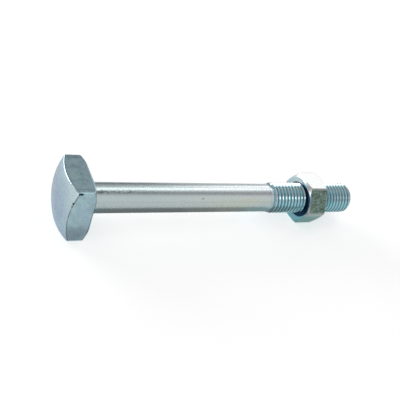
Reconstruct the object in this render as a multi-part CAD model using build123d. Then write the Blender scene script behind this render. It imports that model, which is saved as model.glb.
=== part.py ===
from build123d import *
import os
from math import radians, sqrt, tan

# Square head bolt with a hexagon nut, M16 coarse thread, right-handed.
# Frame: the shank's axis is X, the head is towards -X and the tip towards +X.
# The origin is where the axis meets the plane of the head's bearing face.
# One flat of the head and one flat of the nut face down, along -Z.

# Bolt: lengths along the axis, in millimetres
LENGTH_UNDER_HEAD = 150.0
FULL_THREAD_LENGTH = 49.0
RUN_OUT_LENGTH = 4.0
TIP_CHAMFER_LENGTH = 1.8

# Bolt: diameters
SHANK_DIAMETER = 14.5
THREAD_DIAMETER = 16.0
TIP_DIAMETER = 13.2
NECK_FILLET = 1.0

# Square head: a piece of square bar, crowned on top and turned at the seat
HEAD_ACROSS_FLATS = 28.0
HEAD_CORNER_HEIGHT = 9.2
HEAD_CORNER_ROUNDING = 0.8
CROWN_RADIUS = 40.0
CROWN_EDGE_ROUNDING = 0.8
SEAT_CHAMFER_CIRCLE = 31.0
SEAT_CHAMFER_ANGLE = 25.0
SEAT_EDGE_ROUNDING = 1.1

# Hexagon nut, chamfered on both faces
NUT_ACROSS_FLATS = 24.0
NUT_HEIGHT = 12.3
NUT_CHAMFER_CIRCLE = 22.4
NUT_CHAMFER_ANGLE = 30.0
NUT_CORNER_ROUNDING = 0.3
COUNTERSINK_DIAMETER = 17.6
COUNTERSINK_ANGLE = 90.0
THREAD_CLEARANCE = 0.05

# Where the nut sits: the length of thread that stands out beyond it
TIP_BEYOND_NUT = 20.2
HEAD_TO_NUT = LENGTH_UNDER_HEAD - TIP_BEYOND_NUT - NUT_HEIGHT

# How closely an edge has to agree with a place or a radius to be picked by it
PICKING_TOLERANCE = 0.01


def turned(points):
    """Revolves a closed outline, given as (along the axis, radius) pairs, about the axis."""
    outline = make_face(Polyline(*points, close=True))
    return revolve(outline, Axis.X, 360)


def bar(section, start, end):
    """Extrudes a section drawn about the axis, from start to end along it."""
    plane = Plane(origin=(start, 0, 0), x_dir=(0, 1, 0), z_dir=(1, 0, 0))
    return extrude(plane * section, end - start)


def crowned_blank():
    """The turned form that trims the square bar: a spherical crown and the seat's chamfer."""
    edge = HEAD_ACROSS_FLATS / sqrt(2)
    corner = edge - HEAD_CORNER_ROUNDING * (sqrt(2) - 1)
    centre = sqrt(CROWN_RADIUS**2 - corner**2) - HEAD_CORNER_HEIGHT
    circle = SEAT_CHAMFER_CIRCLE / 2
    chamfer = (edge - circle) * tan(radians(SEAT_CHAMFER_ANGLE))
    blank = turned([
        (centre - CROWN_RADIUS, 0),
        (centre - CROWN_RADIUS, edge),
        (-chamfer, edge),
        (0, circle),
        (0, 0),
    ])
    return blank & Pos(centre, 0, 0) * Sphere(CROWN_RADIUS)


def square_head():
    """The head, with its seat face in the plane X = 0."""
    section = RectangleRounded(
        HEAD_ACROSS_FLATS, HEAD_ACROSS_FLATS, HEAD_CORNER_ROUNDING
    )
    head = bar(section, -HEAD_ACROSS_FLATS, 0) & crowned_blank()
    seat = head.faces().sort_by(Axis.X)[-1]
    head = fillet(seat.edges(), SEAT_EDGE_ROUNDING)
    crown = head.faces().sort_by(Axis.X)[0]
    return fillet(crown.edges(), CROWN_EDGE_ROUNDING)


def threaded_shank():
    """The plain shank, the thread's run-out, the thread at its major diameter and the tip."""
    shank = SHANK_DIAMETER / 2
    thread = THREAD_DIAMETER / 2
    thread_start = LENGTH_UNDER_HEAD - FULL_THREAD_LENGTH
    return turned([
        (-NECK_FILLET, 0),
        (-NECK_FILLET, shank),
        (thread_start - RUN_OUT_LENGTH, shank),
        (thread_start, thread),
        (LENGTH_UNDER_HEAD - TIP_CHAMFER_LENGTH, thread),
        (LENGTH_UNDER_HEAD, TIP_DIAMETER / 2),
        (LENGTH_UNDER_HEAD, 0),
    ])


def make_bolt():
    """Head and shank, forged in one, with a fillet where they meet."""
    bolt = square_head() + threaded_shank()
    neck = bolt.edges().filter_by(GeomType.CIRCLE).filter_by(
        lambda edge: abs(edge.center().X) < PICKING_TOLERANCE
        and abs(edge.radius - SHANK_DIAMETER / 2) < PICKING_TOLERANCE
    )
    return fillet(neck, NECK_FILLET)


def nut_blank(face, far_face):
    """The turned form that trims the hexagon bar: a chamfer on each face."""
    edge = NUT_ACROSS_FLATS / sqrt(3)
    circle = NUT_CHAMFER_CIRCLE / 2
    chamfer = (edge - circle) * tan(radians(NUT_CHAMFER_ANGLE))
    return turned([
        (face, 0),
        (face, circle),
        (face + chamfer, edge),
        (far_face - chamfer, edge),
        (far_face, circle),
        (far_face, 0),
    ])


def nut_bore(face, far_face):
    """The bore, clear of the bolt's thread, with a countersink at each face."""
    bore = THREAD_DIAMETER / 2 + THREAD_CLEARANCE
    mouth = COUNTERSINK_DIAMETER / 2
    depth = (mouth - bore) / tan(radians(COUNTERSINK_ANGLE / 2))
    return turned([
        (face, 0),
        (face, mouth),
        (face + depth, bore),
        (far_face - depth, bore),
        (far_face, mouth),
        (far_face, 0),
    ])


def make_nut():
    """The hexagon nut where it sits on the thread, one flat down."""
    far_face = HEAD_TO_NUT + NUT_HEIGHT
    hexagon = RegularPolygon(NUT_ACROSS_FLATS / 2, 6, major_radius=False)
    section = fillet(hexagon.vertices(), NUT_CORNER_ROUNDING)
    nut = bar(section, HEAD_TO_NUT, far_face) & nut_blank(HEAD_TO_NUT, far_face)
    return nut - nut_bore(HEAD_TO_NUT, far_face)


if __name__ == "__main__":
    os.makedirs("parts", exist_ok=True)
    export_step(make_bolt(), "parts/bolt.step")
    export_step(make_nut(), "parts/hex_nut.step")
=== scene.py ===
"""A zinc-plated square head bolt with its hexagon nut, finished for rendering.

The CAD parts give the sizes and places. This script adds what they leave out: the real
helical threads on bolt and nut, the eased edges, the forging and handling marks, and the
bright blue-white zinc finish. Lengths are in metres. The bolt's axis is X, with the head's
bearing face at X = 0, the head towards -X and the thread's tip towards +X.
"""
import math

import bmesh
import bpy
from mathutils import Matrix, Quaternion, Vector


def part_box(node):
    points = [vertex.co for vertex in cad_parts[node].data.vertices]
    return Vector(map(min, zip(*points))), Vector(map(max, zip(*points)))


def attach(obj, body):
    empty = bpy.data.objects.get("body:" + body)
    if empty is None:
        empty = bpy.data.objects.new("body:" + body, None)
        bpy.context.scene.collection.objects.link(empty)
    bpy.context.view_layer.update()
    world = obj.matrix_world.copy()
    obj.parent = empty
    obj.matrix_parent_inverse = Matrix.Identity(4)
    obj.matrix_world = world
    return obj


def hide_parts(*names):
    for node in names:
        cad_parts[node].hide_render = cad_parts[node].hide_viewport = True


MM = 0.001
RIGHT_ANGLE = math.pi / 2
FULL_TURN = 2 * math.pi

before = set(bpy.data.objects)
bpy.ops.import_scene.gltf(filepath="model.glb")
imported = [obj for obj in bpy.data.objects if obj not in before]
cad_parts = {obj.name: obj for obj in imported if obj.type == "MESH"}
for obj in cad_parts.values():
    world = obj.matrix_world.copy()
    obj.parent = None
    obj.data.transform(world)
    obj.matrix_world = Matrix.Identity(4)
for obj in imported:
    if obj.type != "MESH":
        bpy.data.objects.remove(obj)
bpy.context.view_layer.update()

# ---------------------------------------------------------------- sizes from the CAD parts
BOLT_LOW, BOLT_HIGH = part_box("bolt")
NUT_LOW, NUT_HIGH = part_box("hex_nut")

HEAD_HALF_WIDTH = BOLT_HIGH.z
CROWN_TOP = BOLT_LOW.x
TIP = BOLT_HIGH.x
BOLT_MIDDLE = Vector(((CROWN_TOP + TIP) / 2, 0, 0))
NUT_HALF_WIDTH = NUT_HIGH.z
NUT_FACE, NUT_FAR_FACE = NUT_LOW.x, NUT_HIGH.x
NUT_HEIGHT = NUT_FAR_FACE - NUT_FACE
NUT_MIDDLE = (NUT_FACE + NUT_FAR_FACE) / 2

# ---------------------------------------------------------------- fineness of the meshes
OVERSHOOT = 1 * MM                # blanks and cutting tools reach this far past what they cut
WELD_DISTANCE = 0.001 * MM
CUT_TOLERANCE = 0.0001 * MM
TURNING_STEPS = 192               # facets round the turned blanks of head and nut
THREAD_STEPS = 96                 # facets round threads, bores and the tip
EASE_FACTOR = 0.5                 # strength of each smoothing pass
SHADE_ANGLE = math.radians(35)    # edges sharper than this stay crisp
ALONG_SHARE = 0.99                # an edge runs along X if X makes up this share of its length

# ---------------------------------------------------------------- sizes of the head
CROWN_RADIUS = 40 * MM
CROWN_CENTRE = (CROWN_TOP + CROWN_RADIUS, 0, 0)
CROWN_STEPS = 24
HEAD_CORNER = HEAD_HALF_WIDTH * math.sqrt(2)      # from the axis to the square's corners
HEAD_CORNER_ROUNDING = 0.8 * MM
HEAD_CORNER_STEPS = 6
SEAT_CHAMFER_RADIUS = 15.5 * MM
SEAT_CHAMFER_ANGLE = math.radians(25)
SEAT_EDGE_ROUNDING = 1.1 * MM
SEAT_EDGE_STEPS = 8
HEAD_GRAIN = 0.25 * MM            # mesh size of the forged head, which also eases its edges
HEAD_EASE_PASSES = 6

# Handling marks on the head, in millimetres: place, how far the skin is pushed, reach
HEAD_DENTS = (
    ((-8.7, -13.9, 13.3), (0.1, 0.3, -0.1), 0.8),
    ((-8.1, -13.9, 13.4), (0.0, 0.3, -0.1), 0.8),
    ((-7.5, -13.9, 13.5), (0.0, 0.2, -0.1), 0.7),
    ((-10.6, -13.9, 8.2), (0.2, 0.3, 0.0), 0.8),
    ((-11.0, -13.9, 6.8), (0.1, 0.1, 0.0), 0.5),
)

# ---------------------------------------------------------------- sizes of shank and thread
SHANK_RADIUS = 7.25 * MM
SHANK_ROOT = -3 * MM              # the shank is modelled to here, inside the head
NECK_FILLET = 1.0 * MM
NECK_FILLET_STEPS = 5

PITCH = 2 * MM
FLANK_ANGLE = math.radians(30)
CREST_RADIUS = 8 * MM
CREST_FLAT = 0.25 * MM
CREST_EASING = 0.04 * MM
ROOT_RADIUS = 6.773 * MM
ROOT_ROUNDING = 0.289 * MM
ROOT_STEPS = 2
THREAD_START = TIP - 49 * MM      # the thread is full from here to the tip
RUN_OUT_START = THREAD_START - 4 * MM
LEAD_IN = 4 * PITCH               # plain shank that is made with the thread
BLANK_LEAD = 5 * PITCH            # the tip's blank reaches this far past the lead-in
TIP_CHAMFER_LENGTH = 1.8 * MM
TIP_RADIUS = 6.6 * MM

# ---------------------------------------------------------------- sizes of the nut
HEXAGON_HALF_ANGLE = math.radians(30)
NUT_CORNER = NUT_HALF_WIDTH / math.cos(HEXAGON_HALF_ANGLE)     # from the axis to the corners
NUT_CORNER_ROUNDING = 0.3 * MM
NUT_CORNER_STEPS = 4
NUT_CHAMFER_RADIUS = 11.2 * MM
NUT_CHAMFER_ANGLE = math.radians(30)
NUT_GRAIN = 0.2 * MM
NUT_EASE_PASSES = 2
COUNTERSINK_RADIUS = 8.8 * MM
COUNTERSINK_ANGLE = math.radians(90)
NUT_CREST_RADIUS = 7.0 * MM
NUT_THREAD_CLEARANCE = 0.08 * MM
TAP_SPARE_TURNS = 2               # at least this many turns of the tap stand beyond each face

# ---------------------------------------------------------------- places of the finish
NEAR_CORNER = (0, -math.sqrt(0.5), math.sqrt(0.5))       # directions from the axis
STREAK_SIDE = (0, -math.sin(math.radians(28)), math.cos(math.radians(28)))
DULL_FLAT = (0, -math.cos(HEXAGON_HALF_ANGLE), math.sin(HEXAGON_HALF_ANGLE))
ALONG_DULL_FLAT = (0, math.sin(HEXAGON_HALF_ANGLE), math.cos(HEXAGON_HALF_ANGLE))

BAR_LINE = 11.3 * MM              # faint lines of painted shade along the head's upper flat, to each side, partly forging lines
BAR_LINE_WIDTH = 0.3 * MM
CROWN_EDGE = CROWN_RADIUS - 0.35 * MM                    # from the crown's centre
CROWN_EDGE_WIDTH = 0.35 * MM
BORE_SHADE_PLACE = (NUT_FACE, -3.3 * MM, 1.2 * MM)            # painted shade and dark reflection round the bore, off centre
BORE_SHADE_RADIUS = 8.9 * MM
BORE_SHADE_BLUR = 0.3 * MM

# Dirt in the marks of head and shank, in millimetres: place, reach, how much longer along X,
# and how dark it is
DIRT_SPOTS = (
    ((-8.2, -13.9, 13.4), 0.7, 2.2, 1.0),
    ((-10.6, -13.9, 8.2), 0.7, 1.0, 1.0),
    ((-11.0, -13.9, 6.8), 0.4, 1.0, 0.8),
    ((57.0, -5.9, 4.3), 0.5, 2.0, 0.4),
)

# Fades of the films: where each one starts and where it is full
CROWN_SKIN = (CROWN_RADIUS - 0.3 * MM, CROWN_RADIUS - 0.05 * MM)
PALER_FROM_AXIS = (5 * MM, 18 * MM)
PALER_TO_CORNER = (-4 * MM, 16 * MM)
HEAD_TO_FAR_SIDE = (-12 * MM, 12 * MM)
HEAD_UPWARD = (-14 * MM, 8 * MM)
HEAD_NEAR_SIDE = (1 * MM - HEAD_HALF_WIDTH, 0.5 * MM - HEAD_HALF_WIDTH)
HEAD_UPPER_FLAT = (HEAD_HALF_WIDTH - 0.3 * MM, HEAD_HALF_WIDTH - 0.1 * MM)
HEAD_TO_SHANK = (-1 * MM, 2 * MM)
SHANK_SKIN = (0.985 * SHANK_RADIUS, SHANK_RADIUS)
STREAK_TO_HEAD = (45 * MM, 8 * MM)
SHANK_TO_NECK = (12 * MM, 0.0)
SHANK_FROM_HEAD = (20 * MM, 90 * MM)
SHANK_TO_RUN_OUT = (70 * MM, 95 * MM)
SHANK_HIGHLIGHT_ABOVE = (2 * MM, 5 * MM)
SHANK_WARM_BELOW = (6 * MM, 3 * MM)
SHANK_AQUA_BELOW = (2 * MM, -3 * MM)
SHANK_TO_THREAD = (RUN_OUT_START - 1 * MM, THREAD_START + 2 * MM)
THREAD_GROOVE = (CREST_RADIUS - 0.05 * MM, ROOT_RADIUS + 0.5 * MM)
BEHIND_TIP_FACE = (TIP - 0.1 * MM, TIP - 0.3 * MM)
CRESTS_AQUA_BELOW = (6 * MM, 0.0)
CRESTS_TEAL_BELOW = (-3 * MM, -8 * MM)
GROOVES_NAVY_BELOW = (0.0, -5 * MM)
NUT_FAR_HALF = (NUT_MIDDLE, NUT_FAR_FACE)
NUT_TURNED_FACES = (NUT_HEIGHT / 2 - 0.6 * MM, NUT_HEIGHT / 2 - 0.2 * MM)
NUT_NEAR_FACE = (NUT_FACE + 0.7 * MM, NUT_FACE + 0.45 * MM)
NUT_BORE = (COUNTERSINK_RADIUS, COUNTERSINK_RADIUS - 0.3 * MM)
FLATS_SEA_BELOW = (2 * MM, -6 * MM)
FACES_TEAL_BELOW = (8 * MM, -4 * MM)
DULL_FLAT_SKIN = (NUT_HALF_WIDTH - 0.25 * MM, NUT_HALF_WIDTH - 0.08 * MM)
DULL_FLAT_SIDES = (5.6 * MM, 6.8 * MM)
DULL_FLAT_ENDS = (NUT_HEIGHT / 2 - 1.6 * MM, NUT_HEIGHT / 2 - 0.4 * MM)

# ---------------------------------------------------------------- colours and gloss of the zinc
LAVENDER_ZINC = (0.44, 0.55, 0.70)
CROWN_BLUE = (0.46, 0.65, 0.77)
BLUE_ZINC = (0.50, 0.70, 0.82)
AQUA_ZINC = (0.52, 0.77, 0.83)
PALE_ZINC = (0.66, 0.83, 0.88)
SILVER_ZINC = (0.68, 0.79, 0.81)
HIGHLIGHT_SILVER = (0.86, 0.92, 0.95)
WARM_ZINC = (0.75, 0.83, 0.74)
TEAL_CREST_SHADE = (0.36, 0.74, 0.84)
SEA_GREEN_SHADE = (0.21, 0.51, 0.49)
WHITE_ZINC = (0.75, 0.76, 0.76)
TEAL_FACE_SHADE = (0.30, 0.65, 0.74)
SMOKE_ZINC = (0.22, 0.34, 0.38)
BRIGHT_AQUA = (0.56, 0.90, 0.96)
DEEP_TEAL_SHADE = (0.20, 0.50, 0.60)
NAVY_SHADE = (0.01, 0.05, 0.11)
OLIVE_AND_SHADE = (0.09, 0.16, 0.14)
PALE_OLIVE = (0.36, 0.50, 0.43)
BROWN_FILM = (0.20, 0.18, 0.13)
# Near black, for dirt and for painted shade and dark reflections
GRIME_AND_SHADE = (0.01, 0.015, 0.018)

# How strongly some marks and films show, from 0 to 1. Pairs run from one end to the other
FLATS_SMOKE = (0.25, 0.5)         # from the near side of the head to the far side
# The crown's edge lines and the bar lines are mostly painted shade
NEAR_EDGE_SHADE = (0.55, 0.8)      # from the lower end of the crown's near edge to its upper end
CROWN_EDGE_DIRT_AND_SHADE = 0.4
BAR_LINE_DIRT_AND_SHADE = 0.45
WORN_SPECKS = 0.3
SCRATCHES = 0.35
SHANK_STREAK_AND_REFLECTION = 0.6
CRESTS_BEYOND_NUT = 0.15
DULL_FLAT_BROWN = 0.6
DULL_FLAT_WEAR = 0.55

BOLT_ROUGHNESS = (0.24, 0.32)     # from the smoothest to the roughest spots
THREAD_POLISH = 0.13              # how much smoother the rolled thread is
NUT_ROUGHNESS = 0.22
DULL_FLAT_ROUGHNESS = 0.34
FORGED_RELIEF, GRAIN_RELIEF, DRAWN_RELIEF = 0.3, 0.1, 0.15      # shares of the bolt's relief
SHANK_SMOOTHNESS = 0.5            # forged relief and grain keep this share on the shank
BOLT_RELIEF_DEPTH = 0.02 * MM
NUT_RELIEF_DEPTH = 0.006 * MM

# ---------------------------------------------------------------- the studio
# The bolt lies on the lower flats of head and nut, so the floor under it slopes a little
HEAD_CONTACT = Vector((0, 0, -HEAD_HALF_WIDTH))
NUT_CONTACT = Vector((NUT_FAR_FACE, 0, -NUT_HALF_WIDTH))
FLOOR_SLOPE = math.atan2(NUT_CONTACT.z - HEAD_CONTACT.z, NUT_CONTACT.x - HEAD_CONTACT.x)
FLOOR_SIZE = 6
FLOOR_COLOUR = (0.88, 0.88, 0.88, 1)
FLOOR_ROUGHNESS = 0.9
FLOOR_FADE = (0.3, 1.6)           # distances over which the floor's lift grows
FLOOR_LIFT = 0.62
FAR_FLOOR_LIFT = 0.86
FLOOR_LIFT_IN_METAL = 0.4
ROOM_LIGHT = 0.22
ROOM_IN_METAL = 0.45
BACKDROP_WHITE = 1.0

# Lamps: name, azimuth and elevation in degrees, distance, width, height, radiance
SOFTBOXES = (
    ("key_box", 34, 58, 1.0, 0.30, 0.42, 1.15),
    ("side_box", 46, 30, 1.0, 0.30, 0.30, 1.0),
    ("overhead_box", 0, 90, 1.2, 0.9, 0.9, 0.4),
    ("front_box", -72, 30, 1.2, 1.0, 1.1, 0.22),
    ("backdrop_box", 124, 13, 1.2, 0.9, 0.5, 4.5),
    ("left_box", -170, 8, 1.2, 0.7, 0.34, 1.6),
)
# Cards that hang facing the bolt: name, azimuth, elevation, distance, width, height, tone
HUNG_FLAGS = (
    ("front_flag", -22, 56, 0.8, 0.30, 0.46, 0.25),
    ("left_flag", 164, 12, 0.8, 0.22, 0.14, 0.05),
)
# Cards that stand upright beyond the bolt: name, place, width, height, tone
STANDING_FLAGS = (
    ("back_flag", (0.155, 0.35, 0.255), 0.23, 0.29, 0.34),
    ("low_flag", (0.13, 0.35, 0.04), 0.18, 0.14, 0.10),
)
# Dark cards that lie on the floor as a painted shadow, which only reflections see: name, two (x, y)
# corners in millimetres, tone
LAID_FLAGS = (
    ("shank_flag", (2, -20), (56, 3), 0.18),
    ("shank_flag", (56, -20), (73, 3), 0.21),
    ("shank_flag", (73, -20), (90, 3), 0.25),
    ("shank_flag", (90, -20), (106, 3), 0.29),
    ("head_flag", (-12, -23), (2, -14.5), 0.34),
)
LAID_FLAG_HEIGHT = 0.3 * MM

CAMERA_PLACE = Vector((-97.6, -220.5, 188.6)) * MM
CAMERA_AIM = Vector((59.7, 0, -1.6)) * MM
CAMERA_ROLL = math.radians(22.19)
CAMERA_LENS = 59.87               # millimetres, as the sensor's width is
CAMERA_SENSOR = 36
CAMERA_CLIP_START = 0.01


# ---------------------------------------------------------------- modelling helpers
def deselect_objects():
    bpy.ops.object.select_all(action="DESELECT")


def make_active(piece):
    deselect_objects()
    piece.select_set(True)
    bpy.context.view_layer.objects.active = piece


def edit(piece):
    make_active(piece)
    bpy.ops.object.mode_set(mode="EDIT")
    bpy.ops.mesh.select_mode(type="VERT")


def leave_edit():
    bpy.ops.object.mode_set(mode="OBJECT")


def apply_modifier(piece, kind, name, **settings):
    """Adds one modifier with its settings and applies it."""
    make_active(piece)
    modifier = piece.modifiers.new(name, kind)
    for key, value in settings.items():
        setattr(modifier, key, value)
    bpy.ops.object.modifier_apply(modifier=modifier.name)


def added(name):
    """The primitive that was just added, named, with its place and turn put into its mesh."""
    piece = bpy.context.object
    piece.name = name
    bpy.ops.object.transform_apply(location=True, rotation=True, scale=True)
    return piece


def select_edges(piece, wanted):
    """In edit mode, selects exactly the edges that wanted(edge) is true for."""
    bpy.ops.mesh.select_all(action="DESELECT")
    mesh = bmesh.from_edit_mesh(piece.data)
    for edge in mesh.edges:
        if wanted(edge):
            edge.select_set(True)
    mesh.select_flush_mode()
    bmesh.update_edit_mesh(piece.data)


def runs_along_axis(edge):
    """True for an edge that is parallel to X, as a bar's corners are."""
    run = edge.verts[1].co - edge.verts[0].co
    return abs(run.x) > ALONG_SHARE * run.length


def round_edges(piece, wanted, radius, steps):
    """Rounds the edges that wanted(edge) is true for."""
    edit(piece)
    select_edges(piece, wanted)
    bpy.ops.mesh.bevel(offset=radius, segments=steps, affect="EDGES")
    leave_edit()


def weld(piece):
    """Merges points that lie on each other."""
    edit(piece)
    bpy.ops.mesh.select_all(action="SELECT")
    bpy.ops.mesh.remove_doubles(threshold=WELD_DISTANCE)
    leave_edit()


def face_outwards(piece):
    edit(piece)
    bpy.ops.mesh.select_all(action="SELECT")
    bpy.ops.mesh.normals_make_consistent(inside=False)
    leave_edit()


def drawn_wire(name, points):
    """A wire of edges through (x, radius) points, drawn in the XZ half-plane of the axis."""
    deselect_objects()
    bpy.ops.mesh.primitive_plane_add(size=MM, location=(0, 0, 0))
    wire = bpy.context.object
    wire.name = name
    edit(wire)
    bpy.ops.mesh.select_all(action="SELECT")
    bpy.ops.mesh.merge(type="CENTER")
    first_x, first_radius = points[0]
    bpy.ops.transform.translate(value=(first_x, 0, first_radius))
    for (x, radius), (next_x, next_radius) in zip(points, points[1:]):
        step = (next_x - x, 0, next_radius - radius)
        bpy.ops.mesh.extrude_region_move(TRANSFORM_OT_translate={"value": step})
    leave_edit()
    return wire


def turned(name, points, steps=THREAD_STEPS):
    """A closed solid of revolution about X. Its profile starts and ends on the axis."""
    piece = drawn_wire(name, points)
    edit(piece)
    bpy.ops.mesh.select_all(action="SELECT")
    bpy.ops.mesh.spin(steps=steps, angle=FULL_TURN, center=(0, 0, 0), axis=(1, 0, 0))
    leave_edit()
    weld(piece)
    face_outwards(piece)
    return piece


def combine(piece, tool, operation):
    """Joins, cuts or intersects piece with tool, and uses the tool up."""
    apply_modifier(piece, "BOOLEAN", operation.lower(), object=tool, operation=operation,
                   solver="MANIFOLD")
    bpy.data.objects.remove(tool)


def ease(piece, grain, passes):
    """Remeshes a piece at this grain and smooths it, which eases its edges as forming does."""
    apply_modifier(piece, "REMESH", "grain", mode="VOXEL", voxel_size=grain)
    apply_modifier(piece, "SMOOTH", "ease", factor=EASE_FACTOR, iterations=passes)


def dent(piece, place, push, reach):
    """Presses a small pit into the skin, with soft shoulders out to reach."""
    edit(piece)
    bpy.ops.mesh.select_all(action="DESELECT")
    mesh = bmesh.from_edit_mesh(piece.data)
    nearest = min(mesh.verts, key=lambda vert: (vert.co - place).length_squared)
    nearest.select_set(True)
    bmesh.update_edit_mesh(piece.data)
    bpy.ops.transform.translate(value=push, use_proportional_edit=True,
                                proportional_edit_falloff="SMOOTH", proportional_size=reach)
    leave_edit()


def arc(centre, radius, start, end, steps):
    """Points of an arc in the (x, radius) half-plane, from one angle to another."""
    angles = [start + (end - start) * step / steps for step in range(steps + 1)]
    return [(centre[0] + radius * math.cos(a), centre[1] + radius * math.sin(a)) for a in angles]


def smooth_step(value, low, high):
    """Goes smoothly from 0 where value is low to 1 where it is high."""
    share = min(max((value - low) / (high - low), 0.0), 1.0)
    return share * share * (3 - 2 * share)


# ---------------------------------------------------------------- threads
def one_pitch(root, crest):
    """The thread's form over one pitch: rounded root, straight flanks, eased narrow crest."""
    root_arc = arc((0, root + ROOT_ROUNDING), ROOT_ROUNDING, -RIGHT_ANGLE, -FLANK_ANGLE, ROOT_STEPS)
    flat_start = (PITCH - CREST_FLAT) / 2
    easing = CREST_EASING * math.tan(FLANK_ANGLE)
    rising = root_arc + [(flat_start - easing, crest - CREST_EASING),
                         (flat_start + easing, crest)]
    falling = [(PITCH - x, radius) for x, radius in reversed(rising)]
    return rising + falling


def screw_thread(name, start, turns, root, crest):
    """A closed right-hand threaded rod, its first root at the top of the rod at start."""
    rod = drawn_wire(name, [(start + x, radius) for x, radius in one_pitch(root, crest)])
    apply_modifier(rod, "SCREW", "turns", axis="X", angle=FULL_TURN, screw_offset=PITCH,
                   iterations=turns, steps=THREAD_STEPS, render_steps=THREAD_STEPS,
                   use_merge_vertices=True, merge_threshold=WELD_DISTANCE)
    weld(rod)
    middle = start + (turns + 1) * PITCH / 2
    for near_start in (True, False):
        edit(rod)
        select_edges(rod, lambda edge: edge.is_boundary
                     and (edge.verts[0].co.x < middle) == near_start)
        bpy.ops.mesh.extrude_edges_move()
        bpy.ops.mesh.merge(type="CENTER")
        leave_edit()
    face_outwards(rod)
    return rod


# ---------------------------------------------------------------- the bolt
def crown_height(radius):
    """Depth of the spherical crown below its top at this distance from the axis."""
    return CROWN_RADIUS - math.sqrt(CROWN_RADIUS ** 2 - radius ** 2)


def square_bar(name, end):
    """A length of square bar, from beyond the crown's top to this X."""
    deselect_objects()
    start = CROWN_TOP - 2 * OVERSHOOT
    bpy.ops.mesh.primitive_cube_add(size=1, location=((start + end) / 2, 0, 0),
                                    scale=(end - start, 2 * HEAD_HALF_WIDTH, 2 * HEAD_HALF_WIDTH))
    return added(name)


def square_head():
    """A square bar trimmed by the spherical crown and by the turned chamfer at its seat."""
    head = square_bar("bolt_head", 0.0)
    round_edges(head, lambda edge: min(vert.co.x for vert in edge.verts) > -SEAT_EDGE_ROUNDING,
                SEAT_EDGE_ROUNDING, SEAT_EDGE_STEPS)
    rounded_bar = square_bar("rounded_bar", OVERSHOOT)
    round_edges(rounded_bar, runs_along_axis, HEAD_CORNER_ROUNDING, HEAD_CORNER_STEPS)
    combine(head, rounded_bar, "INTERSECT")
    radii = [HEAD_CORNER * step / CROWN_STEPS for step in range(CROWN_STEPS + 1)]
    crown = [(CROWN_TOP + crown_height(radius), radius) for radius in radii]
    chamfer_depth = (HEAD_CORNER - SEAT_CHAMFER_RADIUS) * math.tan(SEAT_CHAMFER_ANGLE)
    seat = [(-chamfer_depth, HEAD_CORNER), (0, SEAT_CHAMFER_RADIUS), (0, 0)]
    combine(head, turned("head_blank", crown + seat, TURNING_STEPS), "INTERSECT")
    ease(head, HEAD_GRAIN, HEAD_EASE_PASSES)
    for place, push, reach in HEAD_DENTS:
        dent(head, Vector(place) * MM, Vector(push) * MM, reach * MM)
    return head


def fade_run_out(shank):
    """Fades the thread into the plain shank, from its full form to none along the run-out."""
    for vert in shank.data.vertices:
        radial = Vector((0, vert.co.y, vert.co.z))
        if radial.length < SHANK_RADIUS / 2:
            continue                     # the middle of an end stays on the axis
        share = smooth_step(vert.co.x, RUN_OUT_START, THREAD_START)
        radius = SHANK_RADIUS + (radial.length - SHANK_RADIUS) * share
        radial *= radius / radial.length
        vert.co.y, vert.co.z = radial.y, radial.z


def tip_blank(start):
    """What the tip is turned from: the chamfer's cone, and clear of the crests before it."""
    outside = CREST_RADIUS + OVERSHOOT
    cone_length = TIP_CHAMFER_LENGTH * (outside - TIP_RADIUS) / (CREST_RADIUS - TIP_RADIUS)
    return turned("tip_blank", [(start, 0), (start, outside), (TIP - cone_length, outside),
                                (TIP, TIP_RADIUS), (TIP, 0)])


def draw_neck(shank, join_x):
    """Cuts the shank off at join_x and draws it out again, over its neck fillet into the head."""
    edit(shank)
    bpy.ops.mesh.select_all(action="SELECT")
    bpy.ops.mesh.bisect(plane_co=(join_x, 0, 0), plane_no=(1, 0, 0), clear_inner=True,
                        threshold=CUT_TOLERANCE)
    select_edges(shank, lambda edge: edge.is_boundary)
    foot_radius = SHANK_RADIUS + NECK_FILLET
    fillet = arc((NECK_FILLET, foot_radius), NECK_FILLET, -RIGHT_ANGLE, -2 * RIGHT_ANGLE,
                 NECK_FILLET_STEPS)
    last_x, last_radius = join_x, SHANK_RADIUS
    for x, radius in fillet + [(SHANK_ROOT, foot_radius)]:
        bpy.ops.mesh.extrude_edges_move(TRANSFORM_OT_translate={"value": (x - last_x, 0, 0)})
        grow = radius / last_radius
        bpy.ops.transform.resize(value=(1, grow, grow), center_override=(x, 0, 0))
        last_x, last_radius = x, radius
    bpy.ops.mesh.edge_face_add()
    leave_edit()
    face_outwards(shank)


def threaded_shank():
    """The shank and its thread as one closed skin, from inside the head to the tip."""
    start = RUN_OUT_START - LEAD_IN
    turns = math.ceil((TIP - start) / PITCH) + 1
    shank = screw_thread("threaded_bolt", start, turns, ROOT_RADIUS, CREST_RADIUS)
    fade_run_out(shank)
    combine(shank, tip_blank(start - BLANK_LEAD), "INTERSECT")
    draw_neck(shank, start + LEAD_IN / 2)
    return shank


def make_bolt():
    bolt = threaded_shank()
    combine(bolt, square_head(), "UNION")
    return bolt


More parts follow.
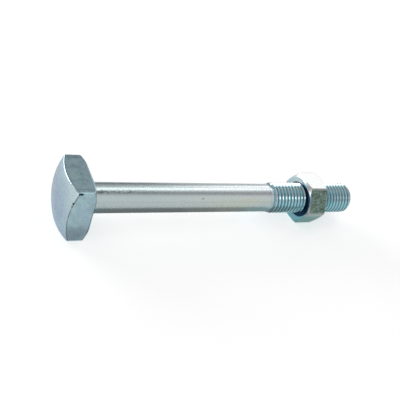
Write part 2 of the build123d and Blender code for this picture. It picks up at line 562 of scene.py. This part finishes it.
# ---------------------------------------------------------------- the nut
def nut_blank():
    """A hexagon bar with rounded corners, both faces turned to a chamfer."""
    deselect_objects()
    bpy.ops.mesh.primitive_cylinder_add(vertices=6, radius=NUT_CORNER,
                                        depth=NUT_HEIGHT + 2 * OVERSHOOT,
                                        location=(NUT_MIDDLE, 0, 0), rotation=(0, RIGHT_ANGLE, 0))
    nut = added("threaded_nut")
    lowest = min(vert.co.z for vert in nut.data.vertices)
    if abs(lowest) > (NUT_CORNER + NUT_HALF_WIDTH) / 2:        # it stands on a corner
        nut.data.transform(Matrix.Rotation(HEXAGON_HALF_ANGLE, 4, "X"))
    round_edges(nut, runs_along_axis, NUT_CORNER_ROUNDING, NUT_CORNER_STEPS)
    depth = (NUT_CORNER - NUT_CHAMFER_RADIUS) * math.tan(NUT_CHAMFER_ANGLE)
    turning = turned("nut_turning", [
        (NUT_FACE, 0), (NUT_FACE, NUT_CHAMFER_RADIUS), (NUT_FACE + depth, NUT_CORNER),
        (NUT_FAR_FACE - depth, NUT_CORNER), (NUT_FAR_FACE, NUT_CHAMFER_RADIUS),
        (NUT_FAR_FACE, 0)], TURNING_STEPS)
    combine(nut, turning, "INTERSECT")
    ease(nut, NUT_GRAIN, NUT_EASE_PASSES)
    return nut


def tap():
    """The threaded rod that cuts the nut's thread, a little clear of the bolt's."""
    start = NUT_FACE - TAP_SPARE_TURNS * PITCH
    turns = math.ceil((NUT_FAR_FACE - start) / PITCH) + TAP_SPARE_TURNS
    return screw_thread("tap", start, turns, ROOT_RADIUS + NUT_THREAD_CLEARANCE,
                        CREST_RADIUS + NUT_THREAD_CLEARANCE)


def drill():
    """A rod that clears the bore out to the crests of the nut's thread."""
    low, high = NUT_FACE - OVERSHOOT, NUT_FAR_FACE + OVERSHOOT
    return turned("bore", [(low, 0), (low, NUT_CREST_RADIUS), (high, NUT_CREST_RADIUS), (high, 0)])


def countersink(face, outward):
    """A cone that opens the bore at one face. Outward is -1 or +1 along X."""
    spread = math.tan(COUNTERSINK_ANGLE / 2)
    margin = OVERSHOOT / 2
    mouth = COUNTERSINK_RADIUS + margin * spread
    return turned("countersink", [(face - outward * COUNTERSINK_RADIUS / spread, 0),
                                  (face + outward * margin, mouth), (face + outward * margin, 0)])


def make_nut():
    nut = nut_blank()
    for tool in (tap(), drill(), countersink(NUT_FACE, -1), countersink(NUT_FAR_FACE, 1)):
        combine(nut, tool, "DIFFERENCE")
    return nut


# ---------------------------------------------------------------- building up a finish
class Finish:
    """A material whose colour, roughness and relief are built up socket by socket."""

    MIX_COLOURS = (6, 7)          # the Mix node's colour sockets, whose names aren't their own
    MIX_RESULT = 2

    def __init__(self, name, metallic=1):
        self.material = bpy.data.materials.new(name)
        self.material.use_nodes = True
        self.nodes = self.material.node_tree.nodes
        self.links = self.material.node_tree.links
        self.shader = self.nodes["Principled BSDF"]
        self.shade(Metallic=metallic)
        self.place = self.add("ShaderNodeTexCoord").outputs["Object"]
        split = self.add("ShaderNodeSeparateXYZ", Vector=self.place)
        self.x, self.y, self.z = split.outputs

    def feed(self, socket, value):
        """Links a socket to an input, or sets the input's value."""
        if isinstance(value, bpy.types.NodeSocket):
            self.links.new(value, socket)
        else:
            socket.default_value = value

    def shade(self, **inputs):
        """Gives each named input of the shader a value or a socket."""
        for key, value in inputs.items():
            self.feed(self.shader.inputs[key.replace("_", " ")], value)

    def add(self, kind, settings=None, **inputs):
        """Adds a node, with its settings, and gives each named input a value or a socket."""
        node = self.nodes.new(kind)
        for key, value in (settings or {}).items():
            setattr(node, key, value)
        for key, value in inputs.items():
            self.feed(node.inputs[key.replace("_", " ")], value)
        return node

    def maths(self, operation, first, second=0.0):
        node = self.add("ShaderNodeMath", {"operation": operation})
        self.feed(node.inputs[0], first)
        self.feed(node.inputs[1], second)
        return node.outputs[0]

    def vector_maths(self, operation, first, second=(0, 0, 0)):
        """The number that an operation makes of two vectors, or of the first."""
        node = self.add("ShaderNodeVectorMath", {"operation": operation})
        self.feed(node.inputs[0], first)
        self.feed(node.inputs[1], second)
        return node.outputs["Value"]

    def product(self, *factors):
        result = factors[0]
        for factor in factors[1:]:
            result = self.maths("MULTIPLY", result, factor)
        return result

    def blend(self, share, first, second, strength=None):
        """Goes from the first colour to the second, each an (r, g, b) or a socket, by a share.

        A strength scales the share down.
        """
        if strength is not None:
            share = self.product(share, strength)
        node = self.add("ShaderNodeMix", {"data_type": "RGBA"}, Factor=share)
        for index, colour in zip(self.MIX_COLOURS, (first, second)):
            if not isinstance(colour, bpy.types.NodeSocket):
                colour = (*colour, 1)
            self.feed(node.inputs[index], colour)
        return node.outputs[self.MIX_RESULT]

    def rise(self, value, start, full, bottom=0.0, top=1.0):
        """Goes smoothly from bottom where value is at start to top where it is at full."""
        node = self.add("ShaderNodeMapRange", {"interpolation_type": "SMOOTHSTEP"}, Value=value,
                        From_Min=start, From_Max=full, To_Min=bottom, To_Max=top)
        return node.outputs["Result"]

    def away(self, value, centre):
        """How far value is from centre, either way."""
        return self.maths("ABSOLUTE", self.maths("SUBTRACT", value, centre))

    def near(self, value, centre, reach):
        """One where value is at centre, falling to none at reach from it."""
        return self.rise(self.away(value, centre), reach, 0.0)

    def noise(self, size, detail=3.0, stretch=(1, 1, 1), offset=(0, 0, 0)):
        """Cloudy noise, 0 to 1, with spots of this size, drawn out along the stretched axes."""
        mapping = self.add("ShaderNodeMapping", Vector=self.place, Location=offset,
                           Scale=[1 / (size * axis) for axis in stretch])
        node = self.add("ShaderNodeTexNoise", Vector=mapping.outputs["Vector"], Scale=1.0,
                        Detail=detail)
        return node.outputs["Fac"]

    def patches(self, size, start, full, bottom=0.0, top=1.0, **pattern):
        """Soft patches: bottom where the noise is at start or less, top from where it is at full."""
        return self.rise(self.noise(size, **pattern), start, full, bottom, top)

    def along(self, direction):
        """The coordinate along a direction."""
        return self.vector_maths("DOT_PRODUCT", self.place, direction)

    def distance(self, centre):
        """The distance from a point."""
        return self.vector_maths("DISTANCE", self.place, centre)

    def from_axis(self):
        """The distance from the bolt's axis."""
        return self.maths("SQRT", self.maths("ADD", self.product(self.y, self.y),
                                             self.product(self.z, self.z)))

    def spot(self, centre, reach, length):
        """One round a point, falling to none at reach from it, or length times that along X."""
        offset = self.add("ShaderNodeMapping", Vector=self.place,
                          Location=(-centre.x / length, -centre.y, -centre.z),
                          Scale=(1 / length, 1, 1))
        return self.rise(self.vector_maths("LENGTH", offset.outputs["Vector"]), reach, reach / 2)

    def surface(self, colour, roughness, relief, depth):
        """The finished material: relief runs 0 to 1 and stands for this depth."""
        bump = self.add("ShaderNodeBump", Height=relief, Distance=depth)
        self.shade(Base_Color=colour, Roughness=roughness, Normal=bump.outputs["Normal"])
        return self.material


# ---------------------------------------------------------------- the bolt's finish
def crown_colour(zinc):
    """Lavender and blue film, paler toward the rim and the upper near corner."""
    tints = zinc.patches(5 * MM, 0.35, 0.65, offset=(3, 1, 2))
    film = zinc.blend(tints, LAVENDER_ZINC, CROWN_BLUE)
    # Paler toward the rim and toward the upper near corner
    paler_rim_and_corner = zinc.product(zinc.rise(zinc.from_axis(), *PALER_FROM_AXIS),
                          zinc.rise(zinc.along(NEAR_CORNER), *PALER_TO_CORNER))
    return zinc.blend(paler_rim_and_corner, film, PALE_ZINC)


def head_flats_colour(zinc):
    """Cloudy blue and aqua film with smoky patches, which are stronger on the far side."""
    film = zinc.blend(zinc.patches(9 * MM, 0.36, 0.64), BLUE_ZINC, AQUA_ZINC)
    smoke = zinc.product(zinc.patches(3.5 * MM, 0.4, 0.65, detail=5, offset=(8, 3, 5)),
                         zinc.rise(zinc.y, *HEAD_TO_FAR_SIDE, *FLATS_SMOKE))
    return zinc.blend(smoke, film, SMOKE_ZINC)


def head_dirt_and_shade(zinc):
    """Dark lines round the crown's edge, most along its near side, and along the upper flat: painted
    shade, with dirt specks on the crown's edge and forging lines on the flat.
    """
    edge = zinc.near(zinc.distance(CROWN_CENTRE), CROWN_EDGE, CROWN_EDGE_WIDTH)
    broken = zinc.patches(1.2 * MM, 0.36, 0.56, bottom=0.35, detail=4)
    # Painted shade along the crown's near edge, stronger toward the top
    near_edge_shade = zinc.product(edge, zinc.rise(zinc.y, *HEAD_NEAR_SIDE), broken,
                             zinc.rise(zinc.z, *HEAD_UPWARD, *NEAR_EDGE_SHADE))
    # Dirt specks and painted shade all round the crown's edge
    edge_dirt_and_shade = zinc.product(edge, broken, CROWN_EDGE_DIRT_AND_SHADE)
    # Painted shade where the upper flat turns toward its corners, partly forging lines
    bar_lines = zinc.product(zinc.near(zinc.maths("ABSOLUTE", zinc.y), BAR_LINE, BAR_LINE_WIDTH),
                             zinc.rise(zinc.z, *HEAD_UPPER_FLAT), BAR_LINE_DIRT_AND_SHADE)
    return zinc.maths("MAXIMUM", zinc.maths("MAXIMUM", near_edge_shade, edge_dirt_and_shade), bar_lines)


def head_colour(zinc):
    """The head's films, worn warm in specks and scratched pale along the bar, with its dirt and
    painted shade.
    """
    on_crown = zinc.rise(zinc.distance(CROWN_CENTRE), *CROWN_SKIN)
    film = zinc.blend(on_crown, head_flats_colour(zinc), crown_colour(zinc))
    worn = zinc.patches(1.6 * MM, 0.5, 0.7, detail=5, offset=(5, 2, 7))
    film = zinc.blend(worn, film, WARM_ZINC, strength=WORN_SPECKS)
    scratches = zinc.patches(0.3 * MM, 0.55, 0.7, detail=2, stretch=(14, 1, 1))
    film = zinc.blend(scratches, film, PALE_ZINC, strength=SCRATCHES)
    # Dirt and painted shade in near-black
    return zinc.blend(head_dirt_and_shade(zinc), film, GRIME_AND_SHADE)


def shank_colour(zinc):
    """Silver film, warmer toward the thread, with a painted highlight along its top toward the
    thread and a dull broken streak near the head that is partly a painted dark reflection.
    """
    lengthwise = zinc.rise(zinc.x, *SHANK_FROM_HEAD)
    # Painted highlight: paler silver along the top, growing toward the thread
    painted_highlight = zinc.product(lengthwise, zinc.rise(zinc.z, *SHANK_HIGHLIGHT_ABOVE))
    film = zinc.blend(painted_highlight, SILVER_ZINC, HIGHLIGHT_SILVER)
    warm = zinc.product(lengthwise, zinc.rise(zinc.z, *SHANK_WARM_BELOW),
                        zinc.patches(9 * MM, 0.4, 0.6, bottom=0.3, stretch=(3, 1, 1)))
    film = zinc.blend(warm, film, WARM_ZINC)
    low_ends = zinc.product(zinc.rise(zinc.z, *SHANK_AQUA_BELOW),
                            zinc.maths("MAXIMUM", zinc.rise(zinc.x, *SHANK_TO_NECK),
                                       zinc.rise(zinc.x, *SHANK_TO_RUN_OUT)))
    film = zinc.blend(low_ends, film, BRIGHT_AQUA)
    # Partly dull film, partly a painted dark reflection, in near-black
    streak = zinc.product(zinc.rise(zinc.along(STREAK_SIDE), *SHANK_SKIN),
                          zinc.rise(zinc.x, *STREAK_TO_HEAD),
                          zinc.patches(0.8 * MM, 0.4, 0.6, detail=4, stretch=(2.5, 1, 1)))
    return zinc.blend(streak, film, GRIME_AND_SHADE, strength=SHANK_STREAK_AND_REFLECTION)


def thread_colour(zinc):
    """Pale crests, bluer below and beyond the nut and painted darker teal for shade toward the
    bottom; grooves painted teal for shade, deepening to navy toward the bottom.
    """
    below = zinc.rise(zinc.z, *CRESTS_AQUA_BELOW)
    beyond_nut = zinc.product(zinc.rise(zinc.x, *NUT_FAR_HALF), CRESTS_BEYOND_NUT)
    crests = zinc.blend(zinc.maths("MAXIMUM", below, beyond_nut), WHITE_ZINC, BRIGHT_AQUA)
    # Painted shade: crests darker teal toward the bottom
    crests = zinc.blend(zinc.rise(zinc.z, *CRESTS_TEAL_BELOW), crests, TEAL_CREST_SHADE)
    # Painted shade in the grooves: teal, deepening to navy toward the bottom
    grooves = zinc.blend(zinc.rise(zinc.z, *GROOVES_NAVY_BELOW), DEEP_TEAL_SHADE, NAVY_SHADE)
    in_groove = zinc.product(zinc.rise(zinc.from_axis(), *THREAD_GROOVE),
                             zinc.rise(zinc.x, *BEHIND_TIP_FACE))
    return zinc.blend(in_groove, crests, grooves)


def bolt_relief(zinc, on_shank):
    """Forged skin and fine grain, flatter on the shank, which has drawn streaks as well."""
    flatter = zinc.rise(on_shank, 0.0, 1.0, 1.0, SHANK_SMOOTHNESS)
    forged = zinc.product(zinc.noise(1.8 * MM), flatter, FORGED_RELIEF)
    grain = zinc.product(zinc.noise(0.3 * MM), flatter, GRAIN_RELIEF)
    drawn = zinc.product(zinc.noise(0.45 * MM, detail=4, stretch=(20, 1, 1)), on_shank,
                         DRAWN_RELIEF)
    return zinc.maths("ADD", zinc.maths("ADD", forged, grain), drawn)


def bolt_finish():
    """Plated as forged: cloudy blue on the head, drawn streaks on the shank, teal threads."""
    zinc = Finish("plated_bolt")
    on_thread = zinc.rise(zinc.x, *SHANK_TO_THREAD)
    on_shank = zinc.product(zinc.rise(zinc.x, *HEAD_TO_SHANK),
                            zinc.maths("SUBTRACT", 1.0, on_thread))
    colour = zinc.blend(on_shank, head_colour(zinc), shank_colour(zinc))
    for place, reach, length, darkness in DIRT_SPOTS:
        spot = zinc.spot(Vector(place) * MM, reach * MM, length)
        colour = zinc.blend(spot, colour, GRIME_AND_SHADE, strength=darkness)
    colour = zinc.blend(on_thread, colour, thread_colour(zinc))
    roughness = zinc.patches(0.8 * MM, 0.3, 0.7, *BOLT_ROUGHNESS, detail=5)
    roughness = zinc.maths("SUBTRACT", roughness, zinc.product(on_thread, THREAD_POLISH))
    return zinc.surface(colour, roughness, bolt_relief(zinc, on_shank), BOLT_RELIEF_DEPTH)


# ---------------------------------------------------------------- the nut's finish
def dull_flat_colour(zinc):
    """Blotchy olive film on the flat that faces up and toward -Y, its darkness partly a painted dark
    reflection, worn pale at its edges.
    """
    # Dark olive blotches, partly a painted dark reflection
    film = zinc.blend(zinc.patches(1.0 * MM, 0.28, 0.72, detail=6), OLIVE_AND_SHADE, PALE_OLIVE)
    brown = zinc.patches(1.7 * MM, 0.52, 0.66, offset=(4, 9, 1))
    film = zinc.blend(brown, film, BROWN_FILM, strength=DULL_FLAT_BROWN)
    across = zinc.maths("ABSOLUTE", zinc.along(ALONG_DULL_FLAT))
    worn = zinc.maths("MAXIMUM", zinc.rise(across, *DULL_FLAT_SIDES),
                      zinc.rise(zinc.away(zinc.x, NUT_MIDDLE), *DULL_FLAT_ENDS))
    return zinc.blend(worn, film, SILVER_ZINC, strength=DULL_FLAT_WEAR)


def nut_finish():
    """Cold-formed flats, one of them dull, blotchy and painted dark, with bright turned faces and
    chamfers, all painted darker below, and painted shade round and in the bore.
    """
    zinc = Finish("plated_nut")
    # Painted shade: the flats darker sea-green toward the bottom
    flats = zinc.blend(zinc.rise(zinc.z, *FLATS_SEA_BELOW), WHITE_ZINC, SEA_GREEN_SHADE)
    on_dull_flat = zinc.rise(zinc.along(DULL_FLAT), *DULL_FLAT_SKIN)
    flats = zinc.blend(on_dull_flat, flats, dull_flat_colour(zinc))
    # Painted shade: the turned faces darker teal toward the bottom
    faces = zinc.blend(zinc.rise(zinc.z, *FACES_TEAL_BELOW), PALE_ZINC, TEAL_FACE_SHADE)
    on_faces = zinc.rise(zinc.away(zinc.x, NUT_MIDDLE), *NUT_TURNED_FACES)
    colour = zinc.blend(on_faces, flats, faces)
    # Painted shade and dark reflection: a navy ring round the bore on the near face
    bore_ring_shade = zinc.product(zinc.rise(zinc.distance(BORE_SHADE_PLACE), BORE_SHADE_RADIUS + BORE_SHADE_BLUR,
                                   BORE_SHADE_RADIUS - BORE_SHADE_BLUR),
                         zinc.rise(zinc.x, *NUT_NEAR_FACE))
    colour = zinc.blend(bore_ring_shade, colour, NAVY_SHADE)
    # Painted shade inside the bore: navy in the near half, dark teal in the far half
    bore_shade = zinc.blend(zinc.rise(zinc.x, *NUT_FAR_HALF), NAVY_SHADE, DEEP_TEAL_SHADE)
    colour = zinc.blend(zinc.rise(zinc.from_axis(), *NUT_BORE), colour, bore_shade)
    roughness = zinc.rise(on_dull_flat, 0.0, 1.0, NUT_ROUGHNESS, DULL_FLAT_ROUGHNESS)
    return zinc.surface(colour, roughness, zinc.noise(0.35 * MM, detail=4), NUT_RELIEF_DEPTH)


def dress(piece, body, node, finish):
    """Gives a piece its shading and finish, and sets it in the place of its CAD part."""
    make_active(piece)
    bpy.ops.object.shade_smooth_by_angle(angle=SHADE_ANGLE)
    piece.data.materials.clear()
    piece.data.materials.append(finish)
    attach(piece, body)
    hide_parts(node)


# ---------------------------------------------------------------- floor and room
def floor_finish():
    """A pale floor that shows white to the camera, apart from the object's own soft shadow."""
    pale = Finish("pale_floor", metallic=0)
    lift = pale.rise(pale.distance(BOLT_MIDDLE), *FLOOR_FADE, FLOOR_LIFT, FAR_FLOOR_LIFT)
    path = pale.add("ShaderNodeLightPath")
    seen = pale.maths("ADD", pale.product(path.outputs["Is Glossy Ray"], FLOOR_LIFT_IN_METAL),
                      path.outputs["Is Camera Ray"])
    pale.shade(Base_Color=FLOOR_COLOUR, Roughness=FLOOR_ROUGHNESS, Emission_Color=(1, 1, 1, 1),
               Emission_Strength=pale.product(seen, lift))
    return pale.material


def lay_floor():
    """The floor, which touches the lower flats of head and nut."""
    deselect_objects()
    bpy.ops.mesh.primitive_plane_add(size=FLOOR_SIZE, location=(0, 0, 0))
    floor = bpy.context.object
    floor.name = "floor"
    floor.data.transform(Matrix.Translation(HEAD_CONTACT) @ Matrix.Rotation(-FLOOR_SLOPE, 4, "Y"))
    floor.data.materials.append(floor_finish())


def studio_room():
    """White behind the floor for the camera, a middling room for reflections, dim for light."""
    world = bpy.data.worlds.new("studio")
    bpy.context.scene.world = world
    world.use_nodes = True
    nodes, links = world.node_tree.nodes, world.node_tree.links
    path = nodes.new("ShaderNodeLightPath")
    room = nodes.new("ShaderNodeMix")
    links.new(path.outputs["Is Glossy Ray"], room.inputs["Factor"])
    room.inputs["A"].default_value = ROOM_LIGHT
    room.inputs["B"].default_value = ROOM_IN_METAL
    level = nodes.new("ShaderNodeMix")
    links.new(path.outputs["Is Camera Ray"], level.inputs["Factor"])
    links.new(room.outputs["Result"], level.inputs["A"])
    level.inputs["B"].default_value = BACKDROP_WHITE
    background = nodes["Background"]
    background.inputs["Color"].default_value = (1, 1, 1, 1)
    links.new(level.outputs["Result"], background.inputs["Strength"])


# ---------------------------------------------------------------- lamps, cards and camera
def from_bolt(azimuth, elevation, distance):
    """A place seen from the bolt's middle. Azimuth runs from +X toward +Y, in degrees."""
    turn, rise = math.radians(azimuth), math.radians(elevation)
    flat = math.cos(rise)
    return BOLT_MIDDLE + distance * Vector((flat * math.cos(turn), flat * math.sin(turn),
                                            math.sin(rise)))


def aim(thing, place, target, roll=0.0):
    """Puts a lamp, a card or the camera at a place, with its front toward the target."""
    thing.location = place
    thing.rotation_mode = "QUATERNION"
    thing.rotation_quaternion = ((target - place).to_track_quat("-Z", "Y")
                                 @ Quaternion((0, 0, 1), roll))


def softbox(name, azimuth, elevation, distance, width, height, radiance):
    """A soft rectangular lamp that faces the bolt. Radiance 1 shows as white in a mirror."""
    lamp = bpy.data.lights.new(name, "AREA")
    lamp.shape = "RECTANGLE"
    lamp.size, lamp.size_y = width, height
    lamp.energy = radiance * math.pi * width * height
    box = bpy.data.objects.new(name, lamp)
    bpy.context.scene.collection.objects.link(box)
    aim(box, from_bolt(azimuth, elevation, distance), BOLT_MIDDLE)
    box.visible_camera = False


def flag(name, width, height, tone):
    """A dark card that only reflections see, as a studio sets beside bright metal; laid on the
    floor, it is a painted shadow.
    """
    deselect_objects()
    bpy.ops.mesh.primitive_plane_add(size=1)
    card = bpy.context.object
    card.name = name
    card.scale = (width, height, 1)
    card.visible_camera = card.visible_diffuse = False
    card.visible_shadow = card.visible_transmission = False
    dark = Finish(name, metallic=0)
    dark.shade(Base_Color=(0, 0, 0, 1), Roughness=1, Specular_IOR_Level=0,
               Emission_Color=(tone, tone, tone, 1), Emission_Strength=1)
    card.data.materials.append(dark.material)
    return card


def hung_flag(name, azimuth, elevation, distance, width, height, tone):
    """A dark card that hangs facing the bolt."""
    card = flag(name, width, height, tone)
    aim(card, from_bolt(azimuth, elevation, distance), BOLT_MIDDLE)


def standing_flag(name, place, width, height, tone):
    """A dark card that stands upright, facing along Y."""
    card = flag(name, width, height, tone)
    card.location = place
    card.rotation_euler = (RIGHT_ANGLE, 0, 0)


def laid_flag(name, low, high, tone):
    """A dark card that lies on the floor between two (x, y) corners in millimetres, a painted shadow
    that only reflections see.
    """
    card = flag(name, (high[0] - low[0]) * MM, (high[1] - low[1]) * MM, tone)
    x, y = (low[0] + high[0]) / 2 * MM, (low[1] + high[1]) / 2 * MM
    floor_z = HEAD_CONTACT.z + (x - HEAD_CONTACT.x) * math.tan(FLOOR_SLOPE)
    card.location = (x, y, floor_z + LAID_FLAG_HEIGHT)
    card.rotation_euler = (0, -FLOOR_SLOPE, 0)


def place_camera():
    camera_data = bpy.data.cameras.new("camera")
    camera_data.lens = CAMERA_LENS
    camera_data.sensor_width = CAMERA_SENSOR
    camera_data.clip_start = CAMERA_CLIP_START
    camera = bpy.data.objects.new("camera", camera_data)
    bpy.context.scene.collection.objects.link(camera)
    bpy.context.scene.camera = camera
    aim(camera, CAMERA_PLACE, CAMERA_AIM, CAMERA_ROLL)


# ---------------------------------------------------------------- the object in its studio
bolt = make_bolt()
nut = make_nut()
dress(bolt, "bolt", "bolt", bolt_finish())
dress(nut, "nut", "hex_nut", nut_finish())

lay_floor()
studio_room()
for box in SOFTBOXES:
    softbox(*box)
for card in HUNG_FLAGS:
    hung_flag(*card)
for card in STANDING_FLAGS:
    standing_flag(*card)
for card in LAID_FLAGS:
    laid_flag(*card)
place_camera()
bpy.context.scene.view_settings.view_transform = "Standard"
